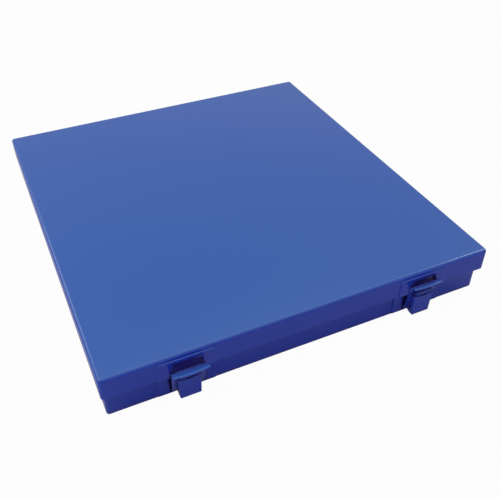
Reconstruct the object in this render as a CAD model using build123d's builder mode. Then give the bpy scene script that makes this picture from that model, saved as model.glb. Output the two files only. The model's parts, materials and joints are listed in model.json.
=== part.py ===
from build123d import *
import math
import os

# Flat sheet-steel case: a folded tray, a hinged lid with a deep skirt and two draw latches.
# Millimetres. The origin is the middle of the tray's underside, +Z is up, the latches face -Y.

# Tray
tray_width = 395.0
tray_depth = 423.0
tray_height = 53.0
tray_bend = 2.0
tray_corner = 3.0
rim_return = 5.0
sheet = 1.0

# Lid, sized from the tray by the room left around it
side_room = 1.5
rear_room = 1.5
front_room = 5.6
lid_rest_gap = 0.2
skirt_drop = 24.3
lid_bend = 3.0
lid_corner_over_bend = 0.4

# Raised pads that frame the latches
latch_inset = 76.5
pad_half_width = 27.8
pad_corner = 4.0
pad_edge = 0.9
lid_pad_proud = 1.0
lid_pad_drop = 5.0
tray_pad_proud = 1.3
tray_pad_overlap = 3.5
tray_pad_foot = 2.4

# Hollow in the lid's pad for the hook, and pocket in the tray's pad for the latch
scoop_top_half_width = 13.0
scoop_foot_half_width = 17.2
scoop_drop = 8.0
scoop_slope_drop = 9.0
scoop_depth = 4.5
scoop_bend = 1.2
scoop_brow = 5.0
pocket_half_width = 16.6
pocket_depth = 5.2
pocket_floor_height = 3.4
pocket_overlap = 2.4
pocket_corner = 2.0

# Lever
lever_pin_out = 3.0
lever_pin_under_skirt = 0.6
lever_sheet = 1.0
lever_plate_out = 1.5
lever_top_drop = 3.0
lever_dip = 1.2
lever_dip_half_width = 8.6
lever_web_set_back = 1.6
lever_gap_depth = 1.4
lever_foot_height = 2.2
lever_top_half_width = 11.0
lever_foot_half_width = 10.0
lever_flange_depth = 11.7
lever_flange_top_depth = 5.0
lever_flange_foot_depth = 5.5
lever_eye_reach = 2.4
lever_shoulder_rise = 9.0
lever_window_width = 2.4
lever_window_height = 5.0
lever_window_depth = 4.4
lever_window_rise = 3.6
lever_bend = 0.8

# Pins of the latch
pin_radius = 1.2
clasp_pin_radius = 1.0
pin_play = 0.06
pin_chamfer = 0.3

# Clasp: two straps from the pin up to a sloping plate, hook inside and finger lip outside
clasp_pin_out = 1.5
clasp_pin_height = 6.5
clasp_sheet = 0.9
clasp_top_drop = 14.3
clasp_top_half_width = 16.6
clasp_foot_half_width = 15.0
strap_width = 4.6
plate_sheet = 1.0
plate_rise = 38.0
lip_length = 6.4
lip_bow = 2.6
lip_roll_radius = 1.2
lip_roll_proud = 0.3
lip_roll_reach = 0.3
lip_roll_cover = 0.4
lip_roll_edge = 0.7
hook_fall = 56.0
hook_length = 7.0
hook_half_width = 12.0
hook_corner = 2.0
left_clasp_lean = 15.6
right_clasp_lean = 10.4

# Bracket
bracket_sheet = 1.0
bracket_half_width = 9.2
bracket_play = 0.2
bracket_eye_radius = 2.2
bracket_under_skirt = 0.9
bracket_ear_height = 13.0
bracket_height = 18.0
bracket_rivet_spacing = 9.0

# Hinges
hinge_inset = 76.5
hinge_length = 60.0
hinge_knuckles = 5
hinge_knuckle_gap = 0.3
hinge_sheet = 1.2
hinge_pin_radius = 1.25
hinge_pin_play = 0.05
hinge_stand_off = 0.3
hinge_leaf_height = 18.0
hinge_pin_head_radius = 2.0
hinge_pin_head_height = 1.0
hinge_step = 4.5
hinge_leaf_corner = 3.0
hinge_rivet_count = 3
hinge_rivet_spacing = 20.0
hinge_rivet_rise = 10.5

# Rivets
rivet_radius = 1.5
rivet_head_radius = 2.8
rivet_head_height = 1.2
rivet_head_round = 0.7
rivet_tail_height = 0.8
rivet_play = 0.05

# Places worked out from the sizes above
over = 50.0
front_wall_y = -tray_depth / 2
rear_wall_y = tray_depth / 2
lid_half_width = tray_width / 2 + side_room + sheet
lid_corner = lid_bend + lid_corner_over_bend
lid_front_y = front_wall_y - front_room - sheet
lid_rear_y = rear_wall_y + rear_room + sheet
lid_depth = lid_rear_y - lid_front_y
lid_middle_y = (lid_rear_y + lid_front_y) / 2
lid_top_z = tray_height + lid_rest_gap + sheet
skirt_z = lid_top_z - skirt_drop
latch_places = {"left": latch_inset - lid_half_width, "right": lid_half_width - latch_inset}
clasp_leans = {"left": left_clasp_lean, "right": right_clasp_lean}
hinge_places = {"left": hinge_inset - lid_half_width, "right": lid_half_width - hinge_inset}

lid_pad_y = lid_front_y - lid_pad_proud
lid_pad_top_z = lid_top_z - lid_pad_drop
scoop_floor_y = lid_pad_y + scoop_depth
scoop_top_z = lid_top_z - scoop_drop
scoop_foot_z = scoop_top_z - scoop_slope_drop
tray_pad_y = front_wall_y - tray_pad_proud
tray_pad_top_z = skirt_z + tray_pad_overlap
pocket_y = tray_pad_y + pocket_depth
pocket_top_z = skirt_z + pocket_overlap
lever_pin_y = lid_front_y - lever_pin_out
lever_pin_z = skirt_z - lever_pin_under_skirt
lever_front_y = lever_pin_y - lever_plate_out
lever_top_z = lever_pin_z - lever_top_drop
lever_flange_y = lever_front_y + lever_flange_depth
lever_knuckle_radius = pin_radius + pin_play + lever_sheet
lever_knuckle_half_width = bracket_half_width - bracket_sheet - bracket_play
clasp_pin_y = front_wall_y - clasp_pin_out
clasp_pin_z = clasp_pin_height
clasp_knuckle_radius = clasp_pin_radius + pin_play + clasp_sheet
right_lean = math.radians(right_clasp_lean)
strap_top_z = lid_top_z - clasp_top_drop - clasp_pin_z
strap_length = (strap_top_z + clasp_knuckle_radius * math.sin(right_lean)) / math.cos(right_lean)
bracket_top_z = skirt_z - bracket_under_skirt
bracket_rivet_z = bracket_top_z - bracket_height / 2
bracket_face_y = pocket_y - bracket_sheet
hinge_knuckle_radius = hinge_pin_radius + hinge_pin_play + hinge_sheet
hinge_pin_y = lid_rear_y + hinge_knuckle_radius + hinge_stand_off
hinge_pin_z = skirt_z
hinge_pitch = hinge_length / hinge_knuckles
tray_leaf_rivet_z = skirt_z - hinge_step - hinge_rivet_rise
lid_leaf_rivet_z = skirt_z + hinge_rivet_rise

os.makedirs("parts", exist_ok=True)


def save(builder: BuildPart, name: str) -> None:
    """Label a finished piece and write it to its own file."""
    builder.part.label = name
    export_step(builder.part, f"parts/{name}.step")


def make_rivet(grip: float) -> Part:
    """A rivet along Z: rounded head from the face at zero upwards, shank and flat tail below."""
    with BuildPart() as body:
        with BuildSketch():
            Circle(rivet_head_radius)
        extrude(amount=rivet_head_height)
        fillet(body.edges().group_by(Axis.Z)[-1], rivet_head_round)
        with BuildSketch():
            Circle(rivet_radius)
        extrude(amount=-grip)
        with BuildSketch(Plane.XY.offset(-grip)):
            Circle(rivet_head_radius)
        extrude(amount=-rivet_tail_height)
    return body.part


def make_pin(x: float, y: float, z: float, radius: float, length: float) -> BuildPart:
    """A plain pin along X about a point, chamfered at both ends."""
    with BuildPart() as body:
        with BuildSketch(Plane.YZ.offset(x)):
            with Locations((y, z)):
                Circle(radius)
        extrude(amount=length / 2, both=True)
        chamfer(body.edges().filter_by(GeomType.CIRCLE), pin_chamfer)
    return body


def make_pad(wall_y: float, proud: float, foot_z: float, top_z: float, corner: float) -> Part:
    """A raised pad about x = 0 on a front wall, its outer edge rounded except at its foot."""
    with BuildPart() as body:
        with BuildSketch(Plane.XZ.offset(proud - wall_y)) as outline:
            with Locations((0, foot_z)):
                Rectangle(2 * pad_half_width, top_z - foot_z, align=(Align.CENTER, Align.MIN))
            fillet(outline.vertices().group_by(Axis.Y)[-1], corner)
        extrude(amount=-proud - sheet / 2)
        front = body.faces().sort_by(Axis.Y)[0]
        fillet(front.edges().sort_by(Axis.Z)[1:], pad_edge)
    return body.part


def make_scoop(wall: float) -> Part:
    """The hollow that slopes into the lid's pad about x = 0, open below, grown by a wall."""
    low = skirt_z if wall else skirt_z - over
    face_y = lid_pad_y + sheet / 2 if wall else lid_pad_y - sheet
    back_y = scoop_floor_y + wall
    slope_z = scoop_foot_z + wall
    widening = (scoop_foot_half_width - scoop_top_half_width) / (scoop_top_z - skirt_z)
    top_half_width = scoop_top_half_width + wall
    low_half_width = scoop_foot_half_width + wall + widening * (skirt_z - low)
    with BuildPart() as body:
        with BuildSketch(Plane.YZ):
            with BuildLine():
                Polyline(
                    (face_y, low),
                    (face_y, slope_z + (back_y - face_y) * scoop_slope_drop / scoop_depth),
                    (back_y, slope_z),
                    (back_y, low),
                    close=True,
                )
            make_face()
        extrude(amount=low_half_width + over, both=True)
        with BuildSketch(Plane.XZ.offset(-scoop_floor_y - over)):
            with BuildLine():
                Polyline(
                    (-top_half_width, scoop_top_z + wall),
                    (top_half_width, scoop_top_z + wall),
                    (low_half_width, low),
                    (-low_half_width, low),
                    close=True,
                )
            make_face()
        extrude(amount=2 * over, mode=Mode.INTERSECT)
        floor = body.faces().filter_by(Plane.XZ).sort_by(Axis.Y)[-1]
        fillet(floor.edges().sort_by(Axis.Z)[1:], scoop_bend + wall)
    return body.part


# Tray: folded walls with a narrow return round the rim, pads and pockets for the latches
tray_pad = make_pad(front_wall_y, tray_pad_proud, tray_pad_foot, tray_pad_top_z, 2 * pad_edge)
tray_pad_middle_z = (tray_pad_top_z + tray_pad_foot) / 2
tray_pad_height = tray_pad_top_z - tray_pad_foot
pocket_middle_z = (pocket_top_z + pocket_floor_height) / 2
pocket_height = pocket_top_z - pocket_floor_height
with BuildPart() as tray:
    with BuildSketch():
        RectangleRounded(tray_width, tray_depth, tray_corner)
    extrude(amount=tray_height)
    fillet(tray.faces().sort_by(Axis.Z)[0].edges(), tray_bend)
    for latch_x in latch_places.values():
        with Locations((latch_x, 0, 0)):
            add(tray_pad)
    with BuildSketch(Plane.XY.offset(sheet)):
        RectangleRounded(tray_width - 2 * sheet, tray_depth - 2 * sheet, tray_corner - sheet)
    extrude(amount=tray_height - 2 * sheet, mode=Mode.SUBTRACT)
    with BuildSketch(Plane.XY.offset(tray_height - sheet)):
        rim_inset = 2 * (sheet + rim_return)
        RectangleRounded(tray_width - rim_inset, tray_depth - rim_inset, tray_corner)
    extrude(amount=sheet, mode=Mode.SUBTRACT)
    for latch_x in latch_places.values():
        with BuildSketch(Plane.XZ.offset(-front_wall_y - sheet)):
            with Locations((latch_x, tray_pad_middle_z)):
                Rectangle(2 * (pad_half_width - sheet), tray_pad_height - 2 * sheet)
        extrude(amount=tray_pad_proud, mode=Mode.SUBTRACT)
        with BuildSketch(Plane.XZ.offset(-tray_pad_y - sheet / 2)):
            with Locations((latch_x, pocket_middle_z)):
                RectangleRounded(
                    2 * (pocket_half_width + sheet), pocket_height + 2 * sheet, pocket_corner + sheet
                )
        extrude(amount=-pocket_depth - sheet / 2)
        with BuildSketch(Plane.XZ.offset(-tray_pad_y)):
            with Locations((latch_x, pocket_middle_z)):
                RectangleRounded(2 * pocket_half_width, pocket_height, pocket_corner)
        extrude(amount=-pocket_depth, mode=Mode.SUBTRACT)
        with BuildSketch(Plane.XZ.offset(-pocket_y)):
            with Locations((latch_x, bracket_rivet_z)):
                with GridLocations(0, bracket_rivet_spacing, 1, 2):
                    Circle(rivet_radius + rivet_play)
        extrude(amount=-2 * sheet, mode=Mode.SUBTRACT)
    for hinge_x in hinge_places.values():
        with BuildSketch(Plane.XZ.offset(-rear_wall_y)):
            with Locations((hinge_x, tray_leaf_rivet_z)):
                with GridLocations(hinge_rivet_spacing, 0, hinge_rivet_count, 1):
                    Circle(rivet_radius + rivet_play)
        extrude(amount=2 * sheet, both=True, mode=Mode.SUBTRACT)
save(tray, "tray_shell")

# Lid: a top sheet with a skirt all round, raised pads and a sloping hollow behind each hook
lid_pad = make_pad(lid_front_y, lid_pad_proud, skirt_z, lid_pad_top_z, pad_corner)
scoop_wall = make_scoop(sheet)
scoop_room = make_scoop(0)
with BuildPart() as lid_room:
    with BuildSketch(Plane.XY.offset(skirt_z)):
        with Locations((0, lid_middle_y)):
            RectangleRounded(2 * (lid_half_width - sheet), lid_depth - 2 * sheet, lid_corner - sheet)
    extrude(amount=skirt_drop - sheet)
    fillet(lid_room.faces().sort_by(Axis.Z)[-1].edges(), side_room)
with BuildPart() as lid:
    with BuildSketch(Plane.XY.offset(skirt_z)):
        with Locations((0, lid_middle_y)):
            RectangleRounded(2 * lid_half_width, lid_depth, lid_corner)
    extrude(amount=skirt_drop)
    fillet(lid.faces().sort_by(Axis.Z)[-1].edges(), lid_bend)
    for latch_x in latch_places.values():
        with Locations((latch_x, 0, 0)):
            add(lid_pad)
    add(lid_room.part, mode=Mode.SUBTRACT)
    for latch_x in latch_places.values():
        with BuildSketch(Plane.XZ.offset(-lid_front_y - sheet)):
            with Locations((latch_x, skirt_z)):
                Rectangle(
                    2 * (pad_half_width - sheet),
                    lid_pad_top_z - skirt_z - 2 * sheet,
                    align=(Align.CENTER, Align.MIN),
                )
        extrude(amount=lid_pad_proud, mode=Mode.SUBTRACT)
        with Locations((latch_x, 0, 0)):
            add(scoop_wall)
            add(scoop_room, mode=Mode.SUBTRACT)
        fronts = lid.faces().filter_by(Plane.XZ).group_by(Axis.Y)[0]
        front = fronts.sort_by(lambda item: abs(item.center().X - latch_x))[0]
        inner = front.edges().filter_by(lambda edge: abs(edge.center().X - latch_x) < scoop_foot_half_width)
        brow = inner.filter_by_position(Axis.Z, scoop_top_z - sheet, scoop_top_z + sheet)
        fillet(brow, scoop_brow)
    for hinge_x in hinge_places.values():
        with BuildSketch(Plane.XZ.offset(-lid_rear_y)):
            with Locations((hinge_x, lid_leaf_rivet_z)):
                with GridLocations(hinge_rivet_spacing, 0, hinge_rivet_count, 1):
                    Circle(rivet_radius + rivet_play)
        extrude(amount=2 * sheet, both=True, mode=Mode.SUBTRACT)
save(lid, "lid_shell")


def build_bracket(x: float) -> BuildPart:
    """Channel bracket: web on the pocket's floor, two ears out to the lever's pin."""
    with BuildPart() as bracket:
        with BuildSketch(Plane.YZ.offset(x)):
            with BuildLine():
                Polyline(
                    (pocket_y, bracket_top_z),
                    (lever_pin_y, bracket_top_z),
                    (lever_pin_y, lever_pin_z - bracket_eye_radius),
                    (bracket_face_y, bracket_top_z - bracket_ear_height),
                    (bracket_face_y, bracket_top_z - bracket_height),
                    (pocket_y, bracket_top_z - bracket_height),
                    close=True,
                )
            make_face()
            with Locations((lever_pin_y, lever_pin_z)):
                Circle(bracket_eye_radius)
        extrude(amount=bracket_half_width, both=True)
        with BuildSketch(Plane.XZ.offset(-bracket_face_y)):
            with Locations((x, 0)):
                Rectangle(2 * (bracket_half_width - bracket_sheet), 2 * over)
        extrude(amount=over, mode=Mode.SUBTRACT)
        with BuildSketch(Plane.YZ.offset(x)):
            with Locations((lever_pin_y, lever_pin_z)):
                Circle(pin_radius + pin_play)
        extrude(amount=over, both=True, mode=Mode.SUBTRACT)
        with BuildSketch(Plane.XZ.offset(-pocket_y)):
            with Locations((x, bracket_rivet_z)):
                with GridLocations(0, bracket_rivet_spacing, 1, 2):
                    Circle(rivet_radius + rivet_play)
        extrude(amount=2 * sheet, mode=Mode.SUBTRACT)
    return bracket


def taper(x: float, foot_half_width: float, top_half_width: float) -> list:
    """Corners of the lever's tapering front outline about a place along X, run on past its ends."""
    slope = (top_half_width - foot_half_width) / (lever_top_z - lever_foot_height)
    low = foot_half_width - slope * over
    high = top_half_width + slope * over
    return [
        (x - low, lever_foot_height - over),
        (x + low, lever_foot_height - over),
        (x + high, lever_top_z + over),
        (x - high, lever_top_z + over),
    ]


def build_lever(x: float) -> BuildPart:
    """Lever: tapering front plate, two flanges back to the clasp's pin, knuckle at the top."""
    shoulder_z = clasp_pin_z + lever_shoulder_rise
    heel_y = lever_front_y + lever_flange_foot_depth
    tail_z = clasp_pin_z - lever_eye_reach
    tail = math.atan2(tail_z - lever_foot_height, clasp_pin_y - heel_y)
    gap_floor_z = lever_top_z - lever_dip - lever_gap_depth
    web_front_y = lever_front_y + lever_web_set_back
    inside_plate_y = lever_front_y + lever_sheet / 2
    with BuildPart() as lever:
        with BuildSketch(Plane.YZ.offset(x)):
            with BuildLine():
                Polyline(
                    (lever_front_y, lever_foot_height),
                    (lever_front_y, lever_top_z),
                    (lever_front_y + lever_flange_top_depth, lever_top_z),
                    (lever_flange_y, shoulder_z),
                    (lever_flange_y, clasp_pin_z),
                    (clasp_pin_y, tail_z),
                    (heel_y, lever_foot_height),
                    close=True,
                )
            make_face()
        extrude(amount=over, both=True)
        with BuildSketch(Plane.XZ.offset(-lever_front_y)):
            with BuildLine():
                Polyline(*taper(x, lever_foot_half_width, lever_top_half_width), close=True)
            make_face()
        extrude(amount=-over, mode=Mode.INTERSECT)
        front = lever.faces().filter_by(Plane.XZ).sort_by(Axis.Y)[0]
        upright = front.edges().filter_by(lambda edge: abs(edge.center().X - x) > lever_bend)
        fillet(upright, lever_bend)
        with BuildSketch(Plane.XZ.offset(-lever_front_y - lever_sheet)):
            inner_foot = lever_foot_half_width - lever_sheet
            inner_top = lever_top_half_width - lever_sheet
            with BuildLine():
                Polyline(*taper(x, inner_foot, inner_top), close=True)
            make_face()
        extrude(amount=-over, mode=Mode.SUBTRACT)
        with BuildSketch(Plane.YZ.offset(x)):
            with BuildLine():
                Polyline(
                    (inside_plate_y, lever_foot_height),
                    (heel_y, lever_foot_height),
                    (clasp_pin_y, tail_z),
                    (clasp_pin_y - lever_sheet * math.sin(tail), tail_z + lever_sheet * math.cos(tail)),
                    (heel_y - lever_sheet * math.tan(tail / 2), lever_foot_height + lever_sheet),
                    (inside_plate_y, lever_foot_height + lever_sheet),
                    close=True,
                )
            make_face()
        extrude(amount=lever_foot_half_width - lever_sheet / 2, both=True)
        with BuildSketch(Plane.YZ.offset(x)):
            with Locations((lever_front_y + lever_window_depth, clasp_pin_z + lever_window_rise)):
                SlotOverall(lever_window_height, lever_window_width, rotation=90)
            with Locations((clasp_pin_y, clasp_pin_z)):
                Circle(clasp_pin_radius + pin_play)
        extrude(amount=over, both=True, mode=Mode.SUBTRACT)
        with BuildSketch(Plane.YZ.offset(x)):
            with Locations((lever_pin_y, lever_pin_z)):
                Circle(lever_knuckle_radius)
            with BuildLine():
                Polyline(
                    (inside_plate_y, gap_floor_z),
                    (web_front_y, gap_floor_z),
                    (web_front_y, lever_pin_z),
                    (web_front_y + lever_sheet, lever_pin_z),
                    (web_front_y + lever_sheet, gap_floor_z - lever_sheet),
                    (inside_plate_y, gap_floor_z - lever_sheet),
                    close=True,
                )
            make_face()
        extrude(amount=lever_knuckle_half_width, both=True)
        with BuildSketch(Plane.YZ.offset(x)):
            with Locations((lever_pin_y, lever_pin_z)):
                Circle(pin_radius + pin_play)
        extrude(amount=over, both=True, mode=Mode.SUBTRACT)
        with BuildSketch(Plane.XZ.offset(-lever_front_y)):
            with BuildLine():
                Polyline(
                    (x - lever_dip_half_width, lever_top_z),
                    (x - lever_dip_half_width, lever_top_z + lever_sheet / 2),
                    (x + lever_dip_half_width, lever_top_z + lever_sheet / 2),
                    (x + lever_dip_half_width, lever_top_z),
                )
                ThreePointArc(
                    (x - lever_dip_half_width, lever_top_z),
                    (x, lever_top_z - lever_dip),
                    (x + lever_dip_half_width, lever_top_z),
                )
            make_face()
        extrude(amount=-(lever_sheet + lever_web_set_back) / 2, mode=Mode.SUBTRACT)
    return lever


def build_clasp(x: float, lean: float) -> BuildPart:
    """Clasp: two straps rolled round its pin, sloping plate with hook inside and lip outside."""
    angle = math.radians(lean)
    rise = math.radians(plate_rise)
    fall = math.radians(hook_fall)
    middle = Plane(
        origin=(x, clasp_pin_y, clasp_pin_z),
        x_dir=(0, math.cos(angle), math.sin(angle)),
        z_dir=(1, 0, 0),
    )
    outward = Plane(origin=middle.origin, x_dir=(1, 0, 0), z_dir=-middle.x_dir)
    strap_face = outward.offset(clasp_knuckle_radius)
    strap_back = clasp_sheet - clasp_knuckle_radius
    curl_end = math.sqrt(clasp_knuckle_radius**2 - strap_back**2)
    curl_angle = math.degrees(math.atan2(curl_end, strap_back))
    inner_foot = clasp_foot_half_width - strap_width
    inner_top = clasp_top_half_width - strap_width
    crest = middle.x_dir * -math.cos(rise) + middle.y_dir * math.sin(rise)
    plate_plane = Plane(
        origin=strap_face.origin + middle.y_dir * strap_length,
        x_dir=(-1, 0, 0),
        z_dir=Vector(-1, 0, 0).cross(crest),
    )
    strap_top = strap_length - clasp_sheet * math.tan(rise)
    fold_back = -clasp_sheet / math.cos(rise)
    hook_back = middle.x_dir * -math.cos(fall) + middle.y_dir * math.sin(fall)
    hook_plane = Plane(
        origin=plate_plane.origin + crest * fold_back,
        x_dir=(-1, 0, 0),
        z_dir=Vector(-1, 0, 0).cross(hook_back),
    )
    edge_end = lip_length - lip_roll_radius
    roll_half_width = clasp_top_half_width + lip_roll_reach
    plate_end = edge_end - lip_roll_cover
    with BuildPart() as roll:
        with BuildLine(plate_plane.offset(lip_roll_proud - lip_roll_radius)) as edge_line:
            ThreePointArc(
                (-roll_half_width, edge_end), (0, edge_end + lip_bow), (roll_half_width, edge_end)
            )
        with BuildSketch(Plane(origin=edge_line.edge() @ 0, z_dir=edge_line.edge() % 0)):
            Circle(lip_roll_radius)
        sweep()
        ends = roll.faces().filter_by(GeomType.PLANE).edges()
        fillet(ends, lip_roll_edge)
    with BuildPart() as clasp:
        with BuildSketch(middle):
            with BuildLine():
                Polyline(
                    (-clasp_knuckle_radius, 0),
                    (-clasp_knuckle_radius, strap_top),
                    (strap_back, strap_top),
                    (strap_back, curl_end),
                )
                CenterArc((0, 0), clasp_knuckle_radius, 180, 180 + curl_angle)
            make_face()
        extrude(amount=clasp_top_half_width, both=True)
        with BuildSketch(outward.offset(-over)):
            for side in (-1, 1):
                with BuildLine():
                    Polyline(
                        (side * inner_foot, -over),
                        (side * inner_foot, 0),
                        (side * inner_top, strap_top),
                        (side * inner_top, over),
                        (side * clasp_top_half_width, over),
                        (side * clasp_top_half_width, strap_top),
                        (side * clasp_foot_half_width, 0),
                        (side * clasp_foot_half_width, -over),
                        close=True,
                    )
                make_face()
        extrude(amount=2 * over, mode=Mode.INTERSECT)
        with BuildSketch(plate_plane):
            with BuildLine():
                Polyline(
                    (clasp_top_half_width, plate_end),
                    (clasp_top_half_width, fold_back),
                    (-clasp_top_half_width, fold_back),
                    (-clasp_top_half_width, plate_end),
                )
                ThreePointArc(
                    (-clasp_top_half_width, plate_end),
                    (0, plate_end + lip_bow),
                    (clasp_top_half_width, plate_end),
                )
            make_face()
        extrude(amount=-plate_sheet)
        with BuildSketch(hook_plane) as outline:
            Rectangle(2 * hook_half_width, hook_length, align=(Align.CENTER, Align.MAX))
            fillet(outline.vertices().group_by(Axis.Y)[0], hook_corner)
        extrude(amount=-plate_sheet)
        add(roll.part)
        with BuildSketch(middle):
            Circle(clasp_pin_radius + pin_play)
        extrude(amount=over, both=True, mode=Mode.SUBTRACT)
    return clasp


# Latches, one at either side
for side_name, latch_x in latch_places.items():
    bracket = build_bracket(latch_x)
    save(bracket, f"{side_name}_bracket")
    lever = build_lever(latch_x)
    save(lever, f"{side_name}_lever")
    clasp = build_clasp(latch_x, clasp_leans[side_name])
    save(clasp, f"{side_name}_clasp")
    lever_pin = make_pin(latch_x, lever_pin_y, lever_pin_z, pin_radius, 2 * bracket_half_width)
    save(lever_pin, f"{side_name}_lever_pin")
    clasp_pin = make_pin(latch_x, clasp_pin_y, clasp_pin_z, clasp_pin_radius, 2 * clasp_foot_half_width)
    save(clasp_pin, f"{side_name}_clasp_pin")

# Rivets of both brackets
bracket_rivet = make_rivet(bracket_sheet + sheet)
with BuildPart(Plane.XZ.offset(-bracket_face_y)) as bracket_rivets:
    for latch_x in latch_places.values():
        with Locations((latch_x, bracket_rivet_z)):
            with GridLocations(0, bracket_rivet_spacing, 1, 2):
                add(bracket_rivet)
save(bracket_rivets, "bracket_rivets")


def make_notches(x: float, first: int, low_z: float, high_z: float) -> Part:
    """Blocks where the other leaf's knuckles run, every second one along the pin."""
    with BuildPart() as notches:
        for index in range(first, hinge_knuckles, 2):
            middle_x = x + (index - (hinge_knuckles - 1) / 2) * hinge_pitch
            with BuildSketch(Plane.YZ.offset(middle_x)):
                with Locations((hinge_pin_y, (low_z + high_z) / 2)):
                    Rectangle(2 * over, high_z - low_z)
            extrude(amount=(hinge_pitch + hinge_knuckle_gap) / 2, both=True)
    return notches.part


def build_tray_leaf(x: float) -> BuildPart:
    """Hinge leaf riveted to the tray's rear wall, stepped out to the pin under the skirt."""
    step_z = hinge_pin_z - hinge_step
    foot_z = step_z - hinge_leaf_height
    clear = hinge_knuckle_radius + hinge_knuckle_gap
    notches = make_notches(x, 1, hinge_pin_z - clear, hinge_pin_z + over)
    with BuildPart() as leaf:
        with BuildSketch(Plane.YZ.offset(x)):
            with BuildLine():
                Polyline(
                    (rear_wall_y, foot_z),
                    (rear_wall_y, step_z),
                    (hinge_pin_y - hinge_knuckle_radius, hinge_pin_z - hinge_sheet),
                    (hinge_pin_y - hinge_knuckle_radius, hinge_pin_z),
                    (hinge_pin_y, hinge_pin_z),
                    (hinge_pin_y, hinge_pin_z - hinge_knuckle_radius),
                    (rear_wall_y + hinge_sheet, step_z - hinge_sheet),
                    (rear_wall_y + hinge_sheet, foot_z),
                    close=True,
                )
            make_face()
            with Locations((hinge_pin_y, hinge_pin_z)):
                Circle(hinge_knuckle_radius)
        extrude(amount=hinge_length / 2, both=True)
        corners = leaf.edges().filter_by(Axis.Y).group_by(Axis.Z)[0]
        fillet(corners, hinge_leaf_corner)
        add(notches, mode=Mode.SUBTRACT)
        with BuildSketch(Plane.YZ.offset(x)):
            with Locations((hinge_pin_y, hinge_pin_z)):
                Circle(hinge_pin_radius + hinge_pin_play)
        extrude(amount=over, both=True, mode=Mode.SUBTRACT)
        with BuildSketch(Plane.XZ.offset(-rear_wall_y)):
            with Locations((x, tray_leaf_rivet_z)):
                with GridLocations(hinge_rivet_spacing, 0, hinge_rivet_count, 1):
                    Circle(rivet_radius + rivet_play)
        extrude(amount=-2 * hinge_sheet, mode=Mode.SUBTRACT)
    return leaf


def build_lid_leaf(x: float) -> BuildPart:
    """Hinge leaf riveted to the outside of the lid's rear skirt."""
    top_z = hinge_pin_z + hinge_leaf_height
    clear = hinge_knuckle_radius + hinge_knuckle_gap
    notches = make_notches(x, 0, hinge_pin_z - over, hinge_pin_z + clear)
    with BuildPart() as leaf:
        with BuildSketch(Plane.YZ.offset(x)):
            with BuildLine():
                Polyline(
                    (lid_rear_y, top_z),
                    (lid_rear_y, hinge_pin_z + clear),
                    (hinge_pin_y - hinge_knuckle_radius, hinge_pin_z + hinge_sheet),
                    (hinge_pin_y - hinge_knuckle_radius, hinge_pin_z),
                    (hinge_pin_y, hinge_pin_z),
                    (hinge_pin_y, hinge_pin_z + hinge_knuckle_radius),
                    (lid_rear_y + hinge_sheet, hinge_pin_z + clear + hinge_sheet / 2),
                    (lid_rear_y + hinge_sheet, top_z),
                    close=True,
                )
            make_face()
            with Locations((hinge_pin_y, hinge_pin_z)):
                Circle(hinge_knuckle_radius)
        extrude(amount=hinge_length / 2, both=True)
        corners = leaf.edges().filter_by(Axis.Y).group_by(Axis.Z)[-1]
        fillet(corners, hinge_leaf_corner)
        add(notches, mode=Mode.SUBTRACT)
        with BuildSketch(Plane.YZ.offset(x)):
            with Locations((hinge_pin_y, hinge_pin_z)):
                Circle(hinge_pin_radius + hinge_pin_play)
        extrude(amount=over, both=True, mode=Mode.SUBTRACT)
        with BuildSketch(Plane.XZ.offset(-lid_rear_y)):
            with Locations((x, lid_leaf_rivet_z)):
                with GridLocations(hinge_rivet_spacing, 0, hinge_rivet_count, 1):
                    Circle(rivet_radius + rivet_play)
        extrude(amount=-2 * hinge_sheet, mode=Mode.SUBTRACT)
    return leaf


# Hinges, one at either side
for side_name, hinge_x in hinge_places.items():
    tray_leaf = build_tray_leaf(hinge_x)
    save(tray_leaf, f"{side_name}_tray_leaf")
    lid_leaf = build_lid_leaf(hinge_x)
    save(lid_leaf, f"{side_name}_lid_leaf")
    with BuildPart() as hinge_pin:
        with BuildSketch(Plane.YZ.offset(hinge_x)):
            with Locations((hinge_pin_y, hinge_pin_z)):
                Circle(hinge_pin_radius)
        extrude(amount=hinge_length / 2, both=True)
        for side in (-1, 1):
            with BuildSketch(Plane.YZ.offset(hinge_x + side * hinge_length / 2)):
                with Locations((hinge_pin_y, hinge_pin_z)):
                    Circle(hinge_pin_head_radius)
            extrude(amount=side * hinge_pin_head_height)
        fillet(hinge_pin.edges().group_by(Axis.X)[-1], hinge_pin_head_height / 2)
        fillet(hinge_pin.edges().group_by(Axis.X)[0], hinge_pin_head_height / 2)
    save(hinge_pin, f"{side_name}_hinge_pin")

# Rivets of the hinge leaves, heads outside
leaf_rivet = make_rivet(hinge_sheet + sheet)
with BuildPart(Plane.ZX.offset(rear_wall_y + hinge_sheet)) as tray_leaf_rivets:
    for hinge_x in hinge_places.values():
        with Locations((tray_leaf_rivet_z, hinge_x)):
            with GridLocations(0, hinge_rivet_spacing, 1, hinge_rivet_count):
                add(leaf_rivet)
save(tray_leaf_rivets, "tray_leaf_rivets")

with BuildPart(Plane.ZX.offset(lid_rear_y + hinge_sheet)) as lid_leaf_rivets:
    for hinge_x in hinge_places.values():
        with Locations((lid_leaf_rivet_z, hinge_x)):
            with GridLocations(0, hinge_rivet_spacing, 1, hinge_rivet_count):
                add(leaf_rivet)
save(lid_leaf_rivets, "lid_leaf_rivets")
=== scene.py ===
"""Painted sheet-steel case with a hinged lid and two draw latches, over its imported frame."""

from __future__ import annotations

import json
import logging
import math
from collections.abc import Callable
from dataclasses import dataclass, field, replace
from enum import Enum

import bmesh
import bpy
from mathutils import Matrix, Vector

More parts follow.
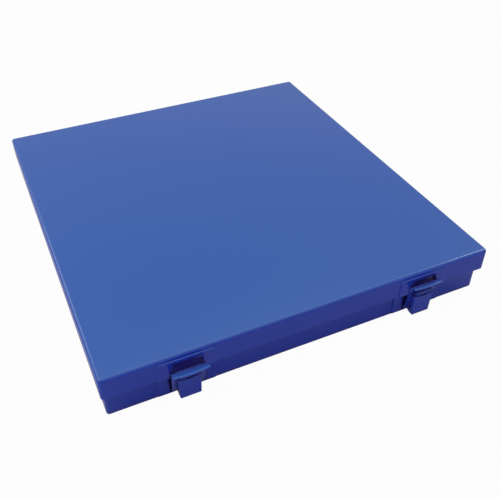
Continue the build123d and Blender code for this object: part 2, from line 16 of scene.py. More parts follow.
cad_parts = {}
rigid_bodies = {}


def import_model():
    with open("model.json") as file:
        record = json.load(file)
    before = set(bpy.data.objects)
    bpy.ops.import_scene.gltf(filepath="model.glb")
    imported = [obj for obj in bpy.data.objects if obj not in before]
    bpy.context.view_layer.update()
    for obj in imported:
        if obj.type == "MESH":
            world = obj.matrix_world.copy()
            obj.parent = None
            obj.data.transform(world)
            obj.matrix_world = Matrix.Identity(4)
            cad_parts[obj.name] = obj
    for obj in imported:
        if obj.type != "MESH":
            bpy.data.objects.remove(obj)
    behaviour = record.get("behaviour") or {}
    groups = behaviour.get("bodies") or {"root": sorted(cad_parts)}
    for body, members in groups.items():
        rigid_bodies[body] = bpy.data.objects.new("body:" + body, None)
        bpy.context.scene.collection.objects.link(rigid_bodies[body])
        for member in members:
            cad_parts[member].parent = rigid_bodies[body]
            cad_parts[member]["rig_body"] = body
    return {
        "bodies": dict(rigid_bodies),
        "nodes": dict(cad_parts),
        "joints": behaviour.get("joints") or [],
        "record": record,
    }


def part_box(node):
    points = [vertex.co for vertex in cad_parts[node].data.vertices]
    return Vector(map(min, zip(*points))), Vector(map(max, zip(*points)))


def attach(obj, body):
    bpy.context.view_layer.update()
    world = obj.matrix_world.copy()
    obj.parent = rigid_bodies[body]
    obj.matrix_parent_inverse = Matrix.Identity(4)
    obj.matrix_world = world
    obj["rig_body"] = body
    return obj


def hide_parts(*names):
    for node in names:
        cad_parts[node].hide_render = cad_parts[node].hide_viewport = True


log = logging.getLogger("metal_box")

MM = 0.001
Triple = tuple[float, float, float]
Colour = Triple
Range = tuple[float, float]
WHITE: Colour = (1.0, 1.0, 1.0)


class Side(Enum):
    """The two ends of the front and the back, as seen from the latches."""

    LEFT = "left"
    RIGHT = "right"


class Facing(Enum):
    """Which way a row of rivets has its heads."""

    FRONT = -1.0
    REAR = 1.0


class Slot(Enum):
    """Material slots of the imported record."""

    BODY = "body_paint"
    LATCH = "latch_paint"
    HINGE = "hinge_paint"
    STEEL = "steel"


class Wire:
    """One output of a node, which adds Math nodes when it stands in an expression."""

    def __init__(self, bench: Bench, socket: bpy.types.NodeSocket) -> None:
        """Keep the output and the bench that it belongs to.

        Args:
            bench: The bench that adds nodes to the same tree.
            socket: The output socket.
        """
        self.bench = bench
        self.socket = socket

    def _math(self, operation: str, *values: Wire | float, clamp: bool = False) -> Wire:
        """Add a Math node.

        Args:
            operation: The Math node's operation.
            values: Its inputs, in order.
            clamp: Whether the result is held between 0 and 1.

        Returns:
            The node's output.
        """
        settings = {"operation": operation, "use_clamp": clamp}
        return self.bench.node("ShaderNodeMath", settings, dict(enumerate(values)))

    def __add__(self, other: Wire | float) -> Wire:
        """Sum."""
        return self._math("ADD", self, other)

    __radd__ = __add__

    def __mul__(self, other: Wire | float) -> Wire:
        """Product."""
        return self._math("MULTIPLY", self, other)

    __rmul__ = __mul__

    def __sub__(self, other: Wire | float) -> Wire:
        """Difference."""
        return self._math("SUBTRACT", self, other)

    def __rsub__(self, other: Wire | float) -> Wire:
        """Difference the other way round."""
        return self._math("SUBTRACT", other, self)

    def __abs__(self) -> Wire:
        """Distance from zero."""
        return self._math("ABSOLUTE", self)

    def held(self) -> Wire:
        """The value held between 0 and 1."""
        return self._math("ADD", self, 0.0, clamp=True)

    def largest(self, other: Wire | float) -> Wire:
        """The larger of two values."""
        return self._math("MAXIMUM", self, other)

    def above(self, low: float, high: float) -> Wire:
        """A soft step.

        Args:
            low: Where the step begins to rise from 0.
            high: Where it reaches 1; below low, the step falls instead.

        Returns:
            A value from 0 to 1.
        """
        settings = {"interpolation_type": "SMOOTHSTEP"}
        if low < high:
            sockets = {"Value": self, "From Min": low, "From Max": high}
            return self.bench.node("ShaderNodeMapRange", settings, sockets)
        sockets = {"Value": self, "From Min": high, "From Max": low, "To Min": 1.0, "To Max": 0.0}
        return self.bench.node("ShaderNodeMapRange", settings, sockets)


class Bench:
    """Adds nodes to one tree."""

    def __init__(self, tree: bpy.types.NodeTree) -> None:
        """Keep the tree.

        Args:
            tree: A shader or geometry node tree.
        """
        self.tree = tree

    def node(
        self,
        kind: str,
        settings: dict[str, object] | None = None,
        sockets: dict[str | int, object] | None = None,
        out: str | int = 0,
    ) -> Wire:
        """Add any node.

        Args:
            kind: The node's type.
            settings: Its properties, set first.
            sockets: Values or wires for its inputs, by name or number.
            out: The output that is wanted, by name or number.

        Returns:
            That output.
        """
        node = self.tree.nodes.new(kind)
        for key, value in (settings or {}).items():
            setattr(node, key, value)
        for key, value in (sockets or {}).items():
            socket = node.inputs[key]
            if isinstance(value, Wire):
                self.tree.links.new(value.socket, socket)
            else:
                socket.default_value = value
        return Wire(self, node.outputs[out] if node.outputs else None)

    def part(self, vector: Wire, axis: str) -> Wire:
        """One part of a vector: X, Y or Z."""
        return self.node("ShaderNodeSeparateXYZ", None, {0: vector}, axis)

    def bump(self, height: Wire) -> Wire:
        """The direction of a face that is raised by a height in metres."""
        return self.node("ShaderNodeBump", None, {"Height": height, "Distance": 1.0}, "Normal")

    def blend(self, share: Wire | float, first: Wire | Colour, second: Wire | Colour) -> Wire:
        """Mix two colours.

        Args:
            share: How much of the second colour shows.
            first: A colour or a wire.
            second: A colour or a wire.

        Returns:
            The mixed colour.
        """
        colours = [value if isinstance(value, Wire) else (*value, 1.0) for value in (first, second)]
        sockets = {0: share, 6: colours[0], 7: colours[1]}
        return self.node("ShaderNodeMix", {"data_type": "RGBA", "blend_type": "MIX"}, sockets, 2)


def new_material(name: str) -> tuple[bpy.types.Material, Bench]:
    """Start a material.

    Args:
        name: Its name.

    Returns:
        The material, with an empty tree, and the bench for that tree.
    """
    material = bpy.data.materials.new(name)
    material.use_nodes = True
    material.node_tree.nodes.clear()
    return material, Bench(material.node_tree)


@dataclass(frozen=True)
class Grain:
    """Smooth noise with lumps of one size, and how many and how strong its finer layers are."""

    size: float
    detail: float = 1.0
    roughness: float = 0.5

    def over(self, bench: Bench, where: Wire) -> Wire:
        """Lay the noise over a surface.

        Args:
            bench: The material's bench.
            where: The coordinates.

        Returns:
            The noise, from 0 to 1.
        """
        sockets = {
            "Vector": where,
            "Scale": 1.0 / self.size,
            "Detail": self.detail,
            "Roughness": self.roughness,
        }
        return bench.node("ShaderNodeTexNoise", None, sockets, "Fac")


@dataclass(frozen=True)
class CornerSeam:
    """Where the folded end of one wall meets the next wall, as seams across the side faces.

    The seams run between two heights, at two places along Y. Their share is how much they cover
    the paint, and their shade is how bright they are next to it.
    """

    front: float
    rear: float
    low: float
    high: float
    half_width: float = 0.22 * MM
    fading_end: float = 1.0 * MM
    side_range: Range = (0.8, 0.95)
    depth: float = 0.25 * MM
    share: float = 0.8
    shade: float = 0.12

    def mask(self, bench: Bench, place: Wire, normal: Wire) -> Wire:
        """Where the seams run.

        Args:
            bench: The material's bench.
            place: Coordinates on the shell.
            normal: Which way its faces look.

        Returns:
            1 in a seam and 0 beside it.
        """
        y = bench.part(place, "Y")
        z = bench.part(place, "Z")
        sideways = abs(bench.part(normal, "X"))
        outer, inner = 2 * self.half_width, self.half_width / 2
        near_front = abs(y - self.front).above(outer, inner)
        near_rear = abs(y - self.rear).above(outer, inner)
        over_foot = z.above(self.low, self.low + self.fading_end)
        under_top = z.above(self.high, self.high - self.fading_end)
        lines = near_front.largest(near_rear) * (over_foot * under_top)
        return lines * sideways.above(*self.side_range)


@dataclass(frozen=True)
class Enamel:
    """Blue stoved enamel with orange peel, thin on its edges, with painted light on level faces and
    painted shade in gaps.

    A range is where a soft step begins and ends. A share is how much of a colour shows.
    """

    name: str
    colour: Colour
    pale: Colour
    deep: Colour
    # Painted light: the paler, greener colour that level faces get, as the light from above shows
    # them.
    painted_level_light: Colour = (0.023, 0.09, 0.358)
    # Painted shade: the dark violet that gaps and recesses are given.
    painted_gap_shade: Colour = (0.08, 0.055, 0.32)
    patches: Grain = Grain(34 * MM, 3.0, 0.55)
    patch_contrast: float = 0.9
    patch_middle: float = 0.42
    level_range: Range = (0.2, 0.95)
    gap: float = 14 * MM
    gap_samples: int = 6
    gap_range: Range = (0.2, 0.75)
    gap_shade_share: float = 0.8
    grime: Grain = Grain(7 * MM, 4.0, 0.6)
    edge_radius: float = 0.6 * MM
    edge_samples: int = 4
    edge_range: Range = (0.02, 0.2)
    worn_range: Range = (0.35, 0.65)
    edge_share: float = 0.5
    peel: Grain = Grain(1.6 * MM)
    peel_depth: float = 0.004 * MM
    ripple: Grain = Grain(70 * MM)
    ripple_depth: float = 0.09 * MM
    roughness: float = 0.24
    grime_roughness: float = 0.1
    edge_roughness: float = 0.06
    coat: float = 0.12
    coat_roughness: float = 0.12
    ior: float = 1.5
    specular: float = 0.4
    seams: CornerSeam | None = None

    def make(self) -> bpy.types.Material:
        """Build the material.

        Returns:
            The finished material.
        """
        material, bench = new_material(self.name)
        place = bench.node("ShaderNodeTexCoord", None, None, "Object")
        normal = bench.node("ShaderNodeNewGeometry", None, None, "Normal")
        grime = self.grime.over(bench, place)
        edge = self._edges(bench, normal, grime)
        colour = self._paint(bench, place, edge)
        peel = self.peel.over(bench, place)
        ripple = self.ripple.over(bench, place)
        height = peel * self.peel_depth + ripple * self.ripple_depth
        if self.seams:
            seam = self.seams.mask(bench, place, normal)
            dark = tuple(self.seams.shade * part for part in self.deep)
            colour = bench.blend(seam * self.seams.share, colour, dark)
            height = height - seam * self.seams.depth
        wear = (grime - 0.5) * self.grime_roughness + edge * self.edge_roughness
        sockets = {
            "Base Color": colour,
            "Roughness": (self.roughness + wear).held(),
            "Normal": bench.bump(height),
            "Coat Weight": self.coat,
            "Coat Roughness": self.coat_roughness,
            "IOR": self.ior,
            "Specular IOR Level": self.specular,
        }
        shader = bench.node("ShaderNodeBsdfPrincipled", None, sockets)
        bench.node("ShaderNodeOutputMaterial", None, {"Surface": shader})
        return material

    def _paint(self, bench: Bench, place: Wire, edge: Wire) -> Wire:
        """The enamel's colour.

        Args:
            bench: The material's bench.
            place: Coordinates on the piece.
            edge: Where the enamel is thin.

        Returns:
            The colour: patchy, with a painted paler, greener light on level faces, painted violet
                shade in gaps, and pale on edges.
        """
        patchy = (self.patches.over(bench, place) - 0.5) * self.patch_contrast + self.patch_middle
        colour = bench.blend(patchy, self.deep, self.colour)
        # Painted light: faces that lie level are tinted paler and greener, as the light from above
        # would show them.
        facing = bench.node("ShaderNodeTexCoord", None, None, "Normal")
        level = abs(bench.part(facing, "Z"))
        colour = bench.blend(level.above(*self.level_range), colour, self.painted_level_light)
        # Painted shade: where ambient occlusion finds a surface enclosed, its colour is darkened
        # and tinted violet, standing in for the shade in gaps and recesses.
        settings = {"samples": self.gap_samples}
        open_air = bench.node("ShaderNodeAmbientOcclusion", settings, {"Distance": self.gap}, "AO")
        gap_shade_mask = (1 - open_air).above(*self.gap_range)
        colour = bench.blend(gap_shade_mask * self.gap_shade_share, colour, self.painted_gap_shade)
        return bench.blend(edge * self.edge_share, colour, self.pale)

    def _edges(self, bench: Bench, normal: Wire, grime: Wire) -> Wire:
        """Where the enamel is thin.

        Args:
            bench: The material's bench.
            normal: The face's direction.
            grime: Fine noise that breaks the edge up.

        Returns:
            1 on a bare edge and 0 away from it.
        """
        settings = {"samples": self.edge_samples}
        rounded = bench.node("ShaderNodeBevel", settings, {"Radius": self.edge_radius})
        settings = {"operation": "DOT_PRODUCT"}
        same = bench.node("ShaderNodeVectorMath", settings, {0: rounded, 1: normal}, "Value")
        return (1 - same).above(*self.edge_range) * grime.above(*self.worn_range)


@dataclass(frozen=True)
class TurnedSteel:
    """Bright turned steel with fine rings of tool marks along its length, and faint stains."""

    name: str
    colour: Colour
    rings: Grain = Grain(0.25 * MM, 2.0)
    ring_stretch: Triple = (1.0, 0.05, 0.05)
    ring_depth: float = 0.01 * MM
    ring_share: float = 0.2
    stains: Grain = Grain(5 * MM, 3.0)
    stain_range: Range = (0.4, 0.7)
    stain_share: float = 0.5
    stain_shade: float = 0.55
    roughness: float = 0.28
    stain_roughness: float = 0.25

    def make(self) -> bpy.types.Material:
        """Build the material.

        Returns:
            The finished material.
        """
        material, bench = new_material(self.name)
        place = bench.node("ShaderNodeTexCoord", None, None, "Object")
        sockets = {"Vector": place, "Scale": self.ring_stretch}
        rings = self.rings.over(bench, bench.node("ShaderNodeMapping", None, sockets))
        stain = self.stains.over(bench, place)
        share = stain.above(*self.stain_range) * self.stain_share + rings * self.ring_share
        darker = tuple(self.stain_shade * part for part in self.colour)
        gloss = self.roughness + (stain - 0.5) * self.stain_roughness
        sockets = {
            "Base Color": bench.blend(share, self.colour, darker),
            "Metallic": 1.0,
            "Roughness": gloss.held(),
            "Normal": bench.bump(rings * self.ring_depth),
        }
        shader = bench.node("ShaderNodeBsdfPrincipled", None, sockets)
        bench.node("ShaderNodeOutputMaterial", None, {"Surface": shader})
        return material


@dataclass
class Workshop:
    """What every sub-assembly shares: the frame, its finishes and how its pieces are softened."""

    frame: dict[str, dict]
    weld: float = 0.002 * MM
    flat_angle: float = math.radians(0.5)
    sharp_angle: float = math.radians(32)
    edge_segments: int = 2
    finishes: dict[str, bpy.types.Material] = field(default_factory=dict)

    def finish(self, finish: Enamel | TurnedSteel) -> bpy.types.Material:
        """Make a finish once.

        Args:
            finish: The finish.

        Returns:
            Its material.
        """
        if finish.name not in self.finishes:
            self.finishes[finish.name] = finish.make()
        return self.finishes[finish.name]

    def body_of(self, node: str) -> str:
        """The body that a frame node rides on."""
        return self.frame["nodes"][node]["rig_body"]

    def softened(self, node: str, edge: float) -> bpy.types.Object:
        """Copy a frame node's shape as one welded mesh with its sharp edges rounded.

        Args:
            node: The frame node.
            edge: Radius of the rounding.

        Returns:
            The new piece, in the node's place.
        """
        mesh = bpy.data.meshes.new(f"painted_{node}")
        work = bmesh.new()
        work.from_mesh(self.frame["nodes"][node].data)
        bmesh.ops.remove_doubles(work, verts=work.verts, dist=self.weld)
        bmesh.ops.dissolve_limit(
            work,
            angle_limit=self.flat_angle,
            verts=work.verts,
            edges=work.edges,
            delimit={"NORMAL"},
        )
        for face in work.faces:
            face.smooth = True
        work.to_mesh(mesh)
        work.free()
        mesh.set_sharp_from_angle(angle=self.sharp_angle)
        piece = bpy.data.objects.new(f"painted_{node}", mesh)
        bpy.context.scene.collection.objects.link(piece)
        rounding = piece.modifiers.new("rounded_edges", "BEVEL")
        rounding.width = edge
        rounding.segments = self.edge_segments
        rounding.limit_method = "ANGLE"
        rounding.angle_limit = self.sharp_angle
        rounding.harden_normals = True
        return piece

    def place(self, piece: bpy.types.Object, body: str, slot: Slot, *nodes: str) -> None:
        """Hang a finished piece on its body in place of frame nodes.

        Args:
            piece: The piece.
            body: The body that it moves with.
            slot: The record's material slot; not used.
            nodes: The frame nodes that it stands for.
        """
        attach(piece, body)
        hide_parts(*nodes)
        log.info("%s on %s: %d faces", piece.name, body, len(piece.data.polygons))


@dataclass
class Shells:
    """The folded tray and lid."""

    workshop: Workshop
    seam_offset: float = 3.0 * MM
    seam_stop: float = 2.0 * MM
    plain_end: float = 12.0 * MM
    fold_edge: float = 0.3 * MM
    pieces: dict[str, bpy.types.Object] = field(default_factory=dict)

    def build(self) -> None:
        """Copy both shells with softened edges."""
        for node in ("tray_shell", "lid_shell"):
            self.pieces[node] = self.workshop.softened(node, self.fold_edge)

    def dress(self, enamel: Enamel) -> None:
        """Paint both shells, with seams at the lid's and the tray's corners.

        Args:
            enamel: The body's enamel.
        """
        for node, piece in self.pieces.items():
            low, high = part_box(node)
            seams = CornerSeam(
                front=self._front(node) + self.seam_offset,
                rear=high.y - self.seam_offset,
                low=low.z,
                high=high.z - self.seam_stop,
            )
            painted = replace(enamel, name=f"{enamel.name}_{node}", seams=seams)
            piece.data.materials.append(self.workshop.finish(painted))
            self.workshop.place(piece, self.workshop.body_of(node), Slot.BODY, node)

    def _front(self, node: str) -> float:
        """Where a shell's plain front wall stands, behind its raised pads.

        Args:
            node: The shell.

        Returns:
            Its place along Y.
        """
        mesh = self.workshop.frame["nodes"][node].data
        _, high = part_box(node)
        plain_from = high.x - self.plain_end
        return min(vertex.co.y for vertex in mesh.vertices if abs(vertex.co.x) > plain_from)


@dataclass
class Latch:
    """One draw latch: bracket, lever, clasp and their pins."""

    workshop: Workshop
    side: Side
    sheet_edge: float = 0.2 * MM
    pin_edge: float = 0.08 * MM
    pieces: dict[str, bpy.types.Object] = field(default_factory=dict)

    def build(self) -> None:
        """Copy the latch's pieces with softened edges."""
        for part in ("bracket", "lever", "clasp"):
            node = f"{self.side.value}_{part}"
            self.pieces[node] = self.workshop.softened(node, self.sheet_edge)
        for part in ("lever_pin", "clasp_pin"):
            node = f"{self.side.value}_{part}"
            self.pieces[node] = self.workshop.softened(node, self.pin_edge)

    def dress(self, enamel: Enamel) -> None:
        """Paint the latch.

        Args:
            enamel: The latches' enamel.
        """
        for node, piece in self.pieces.items():
            slot = Slot.BODY if node.endswith("bracket") else Slot.LATCH
            piece.data.materials.append(self.workshop.finish(enamel))
            self.workshop.place(piece, self.workshop.body_of(node), slot, node)


@dataclass
class ButtHinge:
    """One hinge: a leaf on the tray, a leaf on the lid and the pin."""

    workshop: Workshop
    side: Side
    leaf_edge: float = 0.22 * MM
    pin_edge: float = 0.15 * MM
    pieces: dict[str, bpy.types.Object] = field(default_factory=dict)

    def build(self) -> None:
        """Copy the leaves and the pin with softened edges."""
        for part in ("tray_leaf", "lid_leaf"):
            node = f"{self.side.value}_{part}"
            self.pieces[node] = self.workshop.softened(node, self.leaf_edge)
        node = f"{self.side.value}_hinge_pin"
        self.pieces[node] = self.workshop.softened(node, self.pin_edge)

    def dress(self, enamel: Enamel, steel: TurnedSteel) -> None:
        """Paint the leaves and leave the pin bright.

        Args:
            enamel: The hinges' enamel.
            steel: The pin's steel.
        """
        for node, piece in self.pieces.items():
            bare = node.endswith("pin")
            piece.data.materials.append(self.workshop.finish(steel if bare else enamel))
            slot = Slot.STEEL if bare else Slot.HINGE
            self.workshop.place(piece, self.workshop.body_of(node), slot, node)


@dataclass(frozen=True)
class RivetRow:
    """The rivets of one frame node: a grid at the left of the middle, and its twin at the right."""

    node: str
    slot: Slot
    facing: Facing
    across: int
    upward: int


@dataclass
class Rivets:
    """Domed rivets, repeated over the places where the frame has them."""

    workshop: Workshop
    enamels: dict[Slot, Enamel]
    head_radius: float = 2.8 * MM
    head_height: float = 1.2 * MM
    head_rim: float = 0.3
    crown_fullness: float = 0.8
    tail_height: float = 0.8 * MM
    tail_face: float = 0.92
    tail_rim: float = 0.8
    shank_radius: float = 1.5 * MM
    sides: int = 28
    crown_steps: int = 6
    place_digits: int = 5
    sharp_angle: float = math.radians(50)
    uneven: float = 0.05
    seed: int = 11
    rows: tuple[RivetRow, ...] = (
        RivetRow("bracket_rivets", Slot.BODY, Facing.FRONT, 1, 2),
        RivetRow("tray_leaf_rivets", Slot.HINGE, Facing.REAR, 3, 1),
        RivetRow("lid_leaf_rivets", Slot.HINGE, Facing.REAR, 3, 1),
    )
    pieces: dict[str, bpy.types.Object] = field(default_factory=dict)

    def build(self) -> None:
        """Make every row from one turned rivet, painted as what it holds."""
        for row in self.rows:
            self.pieces[row.node] = self._row(row)

    def dress(self) -> None:
        """Hang the painted rows on the bodies that they hold together."""
        for row in self.rows:
            piece = self.pieces[row.node]
            self.workshop.place(piece, self.workshop.body_of(row.node), row.slot, row.node)

    def _rivet(self, grip: float, facing: Facing) -> bpy.types.Object:
        """Turn one rivet about Y, its head's seat at the origin.

        Its rings are joined here, because bmesh's spin orders the faces anew in each run.

        Args:
            grip: Thickness that the rivet holds.
            facing: Which way the head looks.

        Returns:
            The rivet, outside the scene.
        """
        work = bmesh.new()
        rings = [self._ring(work, radius, height) for radius, height in self._profile(grip)]
        for below, above in zip(rings, rings[1:]):
            for index in range(self.sides):
                after = (index + 1) % self.sides
                corners = [
                    below[index % len(below)],
                    below[after % len(below)],
                    above[after % len(above)],
                    above[index % len(above)],
                ]
                work.faces.new(dict.fromkeys(corners))
        turn = Matrix.Rotation(math.pi / 2 * -facing.value, 4, "X")
        bmesh.ops.transform(work, matrix=turn, verts=work.verts)
        bmesh.ops.recalc_face_normals(work, faces=work.faces)
        for face in work.faces:
            face.smooth = True
        mesh = bpy.data.meshes.new("turned_rivet")
        work.to_mesh(mesh)
        work.free()
        mesh.set_sharp_from_angle(angle=self.sharp_angle)
        return bpy.data.objects.new("turned_rivet", mesh)

    def _ring(
        self, work: bmesh.types.BMesh, radius: float, height: float
    ) -> list[bmesh.types.BMVert]:
        """Set the corners of one ring round the rivet's axis.

        Args:
            work: The mesh.
            radius: The ring's radius; a ring without one is a single corner.
            height: How far it is along the axis.

        Returns:
            The corners, in order.
        """
        if not radius:
            return [work.verts.new((0.0, 0.0, height))]
        angles = [math.tau * index / self.sides for index in range(self.sides)]
        return [
            work.verts.new((radius * math.cos(angle), radius * math.sin(angle), height))
            for angle in angles
        ]

    def _profile(self, grip: float) -> list[tuple[float, float]]:
        """The outline that is turned into a rivet.

        Args:
            grip: Thickness that the rivet holds.

        Returns:
            Radii and heights, from the tail's middle to the crown's.
        """
        crown = []
        for index in range(self.crown_steps):
            angle = index / self.crown_steps * math.pi / 2
            radius = self.head_radius * math.cos(angle) ** self.crown_fullness
            rise = self.head_rim + (1 - self.head_rim) * math.sin(angle)
            crown.append((radius, self.head_height * rise))
        return [
            (0.0, -grip - self.tail_height),
            (self.head_radius * self.tail_face, -grip - self.tail_height),
            (self.head_radius, -grip - self.tail_height * self.tail_rim),
            (self.head_radius, -grip),
            (self.shank_radius, -grip),
            (self.shank_radius, 0.0),
            (self.head_radius, 0.0),
            *crown,
            (0.0, self.head_height),
        ]

    def _row(self, row: RivetRow) -> bpy.types.Object:
        """Repeat the rivet over one frame node's places.

        Args:
            row: The node and its counts.

        Returns:
            One mesh with all of the node's rivets.
        """
        low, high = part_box(row.node)
        grip = high.y - low.y - self.head_height - self.tail_height
        front = row.facing is Facing.FRONT
        seat = low.y + self.head_height if front else high.y - self.head_height
        rivet = self._rivet(grip, row.facing)
        columns = self._columns(row.node)
        left = columns[0]
        step = columns[1] - left if row.across > 1 else 0.0
        rise = (high.z - low.z - 2 * self.head_radius) / max(row.upward - 1, 1)
        values = {
            "Rivet": rivet,
            "First": Vector((left, seat, low.z + self.head_radius)),
            "Across": row.across,
            "Step": Vector((step, 0.0, 0.0)),
            "Upward": row.upward,
            "Rise": Vector((0.0, 0.0, rise)),
            "Mirrored": Vector((-left - (row.across - 1) * step - left, 0.0, 0.0)),
            "Unevenness": self.uneven,
            "Finish": self.workshop.finish(self.enamels[row.slot]),
        }
        tree = RivetTree(self.seed).build()
        holder = bpy.data.objects.new(f"{row.node}_maker", bpy.data.meshes.new(row.node))
        bpy.context.scene.collection.objects.link(holder)
        modifier = holder.modifiers.new("rivets", "NODES")
        modifier.node_group = tree
        for item in tree.interface.items_tree:
            if item.item_type == "SOCKET" and item.in_out == "INPUT" and item.name in values:
                modifier[item.identifier] = values[item.name]
        graph = bpy.context.evaluated_depsgraph_get()
        mesh = bpy.data.meshes.new_from_object(holder.evaluated_get(graph))
        mesh.name = f"domed_{row.node}"
        bpy.data.objects.remove(holder)
        bpy.data.objects.remove(rivet)
        piece = bpy.data.objects.new(f"domed_{row.node}", mesh)
        bpy.context.scene.collection.objects.link(piece)
        return piece

    def _columns(self, node: str) -> list[float]:
        """Where the node's rivets stand along X.

        Args:
            node: A frame node of separate rivets.

        Returns:
            The middle of each column, from the left.
        """
        mesh = self.workshop.frame["nodes"][node].data
        places = sorted({round(vertex.co.x, self.place_digits) for vertex in mesh.vertices})
        groups: list[list[float]] = [[places[0]]]
        for place in places[1:]:
            if place - groups[-1][-1] > self.head_radius:
                groups.append([])
            groups[-1].append(place)
        return [(group[0] + group[-1]) / 2 for group in groups]


@dataclass(frozen=True)
class RivetTree:
    """The geometry nodes that repeat a rivet over a grid and its mirrored twin."""

    seed: int

    def build(self) -> bpy.types.NodeTree:
        """Build the tree with its named inputs.

        Returns:
            The tree.
        """
        tree = bpy.data.node_groups.new("rivet_rows", "GeometryNodeTree")
        for name, kind in (
            ("Rivet", "NodeSocketObject"),
            ("First", "NodeSocketVector"),
            ("Across", "NodeSocketInt"),
            ("Step", "NodeSocketVector"),
            ("Upward", "NodeSocketInt"),
            ("Rise", "NodeSocketVector"),
            ("Mirrored", "NodeSocketVector"),
            ("Unevenness", "NodeSocketFloat"),
            ("Finish", "NodeSocketMaterial"),
        ):
            tree.interface.new_socket(name, in_out="INPUT", socket_type=kind)
        tree.interface.new_socket("Geometry", in_out="OUTPUT", socket_type="NodeSocketGeometry")
        bench = Bench(tree)
        given = self._given(bench)
        line = {"Count": given("Across"), "Start Location": given("First"), "Offset": given("Step")}
        columns = bench.node("GeometryNodeMeshLine", {"mode": "OFFSET"}, line)
        stack = {"Count": given("Upward"), "Offset": given("Rise")}
        heights = bench.node("GeometryNodeMeshLine", {"mode": "OFFSET"}, stack)
        pair = {"Count": 2, "Offset": given("Mirrored")}
        twins = bench.node("GeometryNodeMeshLine", {"mode": "OFFSET"}, pair)
        settings = {"transform_space": "ORIGINAL"}
        sockets = {"Object": given("Rivet")}
        shape = bench.node("GeometryNodeObjectInfo", settings, sockets, "Geometry")
        sockets = {"Min": 1 - given("Unevenness"), "Max": 1.0, "Seed": self.seed}
        spread = bench.node("FunctionNodeRandomValue", {"data_type": "FLOAT"}, sockets, 1)
        size = bench.node("ShaderNodeCombineXYZ", None, {"X": 1.0, "Y": spread, "Z": 1.0})
        stacked = self._repeat(bench, heights, shape)
        rows = self._repeat(bench, columns, stacked, size)
        both = self._repeat(bench, twins, rows)
        solid = bench.node("GeometryNodeRealizeInstances", None, {"Geometry": both})
        sockets = {"Geometry": solid, "Material": given("Finish")}
        dressed = bench.node("GeometryNodeSetMaterial", None, sockets)
        bench.node("NodeGroupOutput", None, {"Geometry": dressed})
        return tree

    @staticmethod
    def _given(bench: Bench) -> Callable[[str], Wire]:
        """A function that returns one of the tree's inputs by its name."""
        source = bench.tree.nodes.new("NodeGroupInput")
        return lambda name: Wire(bench, source.outputs[name])

    @staticmethod
    def _repeat(bench: Bench, points: Wire, shape: Wire, size: Wire | None = None) -> Wire:
        """Instance a shape on points.

        Args:
            bench: The tree's bench.
            points: The points.
            shape: The shape.
            size: A scale for each point, if they differ.

        Returns:
            The instances.
        """
        sockets: dict[str | int, object] = {"Points": points, "Instance": shape}
        if size:
            sockets["Scale"] = size
        return bench.node("GeometryNodeInstanceOnPoints", None, sockets)


@dataclass(frozen=True)
class Lamp:
    """A soft square lamp that points at the origin."""

    name: str
    place: Triple
    size: float
    watts: float

    def hang(self, tint: Colour) -> None:
        """Add the lamp to the scene.

        Args:
            tint: The colour of its light.
        """
        data = bpy.data.lights.new(self.name, "AREA")
        data.shape = "RECTANGLE"
        data.size = data.size_y = self.size
        data.energy = self.watts
        data.color = tint
        lamp = bpy.data.objects.new(self.name, data)
        lamp.location = self.place
        lamp.rotation_euler = Vector(self.place).to_track_quat("Z", "Y").to_euler()
        bpy.context.scene.collection.objects.link(lamp)


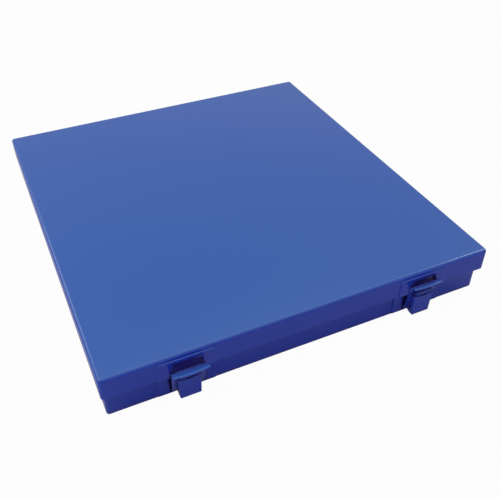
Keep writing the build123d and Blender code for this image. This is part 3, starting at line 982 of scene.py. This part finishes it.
@dataclass(frozen=True)
class Studio:
    """White room, pale floor, soft lamps and the camera.

    The camera's turn is its axis times its angle. A mirrored value is the part of the white that
    reflections show.
    """

    eye: Triple = (-0.22692, -0.57407, 0.46814)
    turn: Triple = (2.21703, -0.48866, 0.22651)
    lens: float = 46.55
    sensor_width: float = 36.0
    nearest: float = 0.01
    room_light: float = 0.42
    room_tint: Colour = (1.0, 0.93, 1.0)
    room_mirrored: float = 0.3
    floor_radius: float = 6.0
    floor_sides: int = 96
    floor_drop: float = 0.2 * MM
    floor_grain: Grain = Grain(60 * MM, 3.0)
    floor_tones: tuple[Colour, Colour] = ((0.42, 0.42, 0.42), (0.46, 0.46, 0.46))
    floor_mirrored: float = 0.1
    floor_white: float = 0.97
    lamp_tint: Colour = (0.96, 1.04, 1.0)
    lamps: tuple[Lamp, ...] = (
        Lamp("ceiling_light", (0.0, -0.1, 1.5), 2.0, 9.6),
        Lamp("right_light", (1.2, 0.12, 1.1), 0.4, 4.6),
        Lamp("left_light", (-0.95, -0.15, 1.2), 0.35, 5.5),
        Lamp("rear_light", (-0.85, 1.1, 1.05), 0.8, 5.5),
    )

    def build(self) -> None:
        """Set up the whole studio."""
        bpy.context.scene.view_settings.view_transform = "Standard"
        self.camera()
        self.room()
        self.floor()
        for lamp in self.lamps:
            lamp.hang(self.lamp_tint)

    def camera(self) -> None:
        """Put the camera where the photograph was taken."""
        data = bpy.data.cameras.new("camera")
        data.lens = self.lens
        data.sensor_width = self.sensor_width
        data.clip_start = self.nearest
        camera = bpy.data.objects.new("camera", data)
        turn = Vector(self.turn)
        world_to_lens = Matrix.Rotation(turn.length, 3, turn.normalized())
        # The turn is for a lens that looks along +Z with Y downwards; this camera looks along -Z.
        flip = Matrix(((1, 0, 0), (0, -1, 0), (0, 0, -1)))
        facing = world_to_lens.transposed() @ flip
        camera.matrix_world = Matrix.Translation(self.eye) @ facing.to_4x4()
        bpy.context.scene.collection.objects.link(camera)
        bpy.context.scene.camera = camera

    def room(self) -> None:
        """Light from all round, white to the camera and dimmer in reflections and on the case."""
        world = bpy.data.worlds.new("room")
        world.use_nodes = True
        world.node_tree.nodes.clear()
        bench = Bench(world.node_tree)
        seen = self._seen(bench, self.room_mirrored)
        strength = self.room_light + seen * (1.0 - self.room_light)
        colour = bench.blend(seen, self.room_tint, WHITE)
        sockets = {"Color": colour, "Strength": strength}
        white = bench.node("ShaderNodeBackground", None, sockets)
        bench.node("ShaderNodeOutputWorld", None, {"Surface": white})
        bpy.context.scene.world = world

    def floor(self) -> None:
        """A round pale floor that keeps a faint shadow."""
        work = bmesh.new()
        bmesh.ops.create_circle(
            work, cap_ends=True, segments=self.floor_sides, radius=self.floor_radius
        )
        bmesh.ops.translate(work, verts=work.verts, vec=(0.0, 0.0, -self.floor_drop))
        mesh = bpy.data.meshes.new("floor")
        work.to_mesh(mesh)
        work.free()
        floor = bpy.data.objects.new("floor", mesh)
        mesh.materials.append(self._floor_finish())
        bpy.context.scene.collection.objects.link(floor)

    def _floor_finish(self) -> bpy.types.Material:
        """Make a matt floor that the camera sees as nearly white.

        Returns:
            The floor's material.
        """
        material, bench = new_material("pale_floor")
        place = bench.node("ShaderNodeTexCoord", None, None, "Object")
        tone = bench.blend(self.floor_grain.over(bench, place), *self.floor_tones)
        matt = bench.node("ShaderNodeBsdfDiffuse", None, {"Color": tone})
        sockets = {"Color": (*WHITE, 1.0), "Strength": 1.0}
        white = bench.node("ShaderNodeEmission", None, sockets)
        seen = self._seen(bench, self.floor_mirrored) * self.floor_white
        surface = bench.node("ShaderNodeMixShader", None, {0: seen, 1: matt, 2: white})
        bench.node("ShaderNodeOutputMaterial", None, {"Surface": surface})
        return material

    @staticmethod
    def _seen(bench: Bench, mirrored: float) -> Wire:
        """How much of the white a ray sees: all of it, a part in reflections, or none.

        Args:
            bench: The bench of the material or the world.
            mirrored: The part that reflections show.

        Returns:
            A value from 0 to 1.
        """
        camera = bench.node("ShaderNodeLightPath", None, None, "Is Camera Ray")
        glossy = bench.node("ShaderNodeLightPath", None, None, "Is Glossy Ray")
        through = bench.node("ShaderNodeLightPath", None, None, "Is Transmission Ray")
        return camera.largest(glossy * mirrored).largest(through)


def main() -> None:
    """Build and dress the case, and set up the studio."""
    logging.basicConfig(level=logging.INFO, format="%(name)s: %(message)s")
    workshop = Workshop(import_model())
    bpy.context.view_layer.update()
    body = Enamel(
        name="body_enamel",
        colour=(0.008, 0.042, 0.51),
        pale=(0.09, 0.18, 0.72),
        deep=(0.006, 0.037, 0.47),
    )
    latch = Enamel(
        name="latch_enamel",
        colour=(0.009, 0.043, 0.51),
        pale=(0.09, 0.18, 0.72),
        deep=(0.007, 0.038, 0.46),
    )
    hinge = Enamel(
        name="hinge_enamel",
        colour=(0.01, 0.046, 0.52),
        pale=(0.07, 0.15, 0.68),
        deep=(0.008, 0.04, 0.46),
    )
    steel = TurnedSteel(name="turned_steel", colour=(0.56, 0.57, 0.6))
    shells = Shells(workshop)
    shells.build()
    shells.dress(body)
    for side in Side:
        latches = Latch(workshop, side)
        latches.build()
        latches.dress(latch)
        hinges = ButtHinge(workshop, side)
        hinges.build()
        hinges.dress(hinge, steel)
    rivets = Rivets(workshop, {Slot.BODY: body, Slot.HINGE: hinge})
    rivets.build()
    rivets.dress()
    Studio().build()


if __name__ == "__main__":
    main()
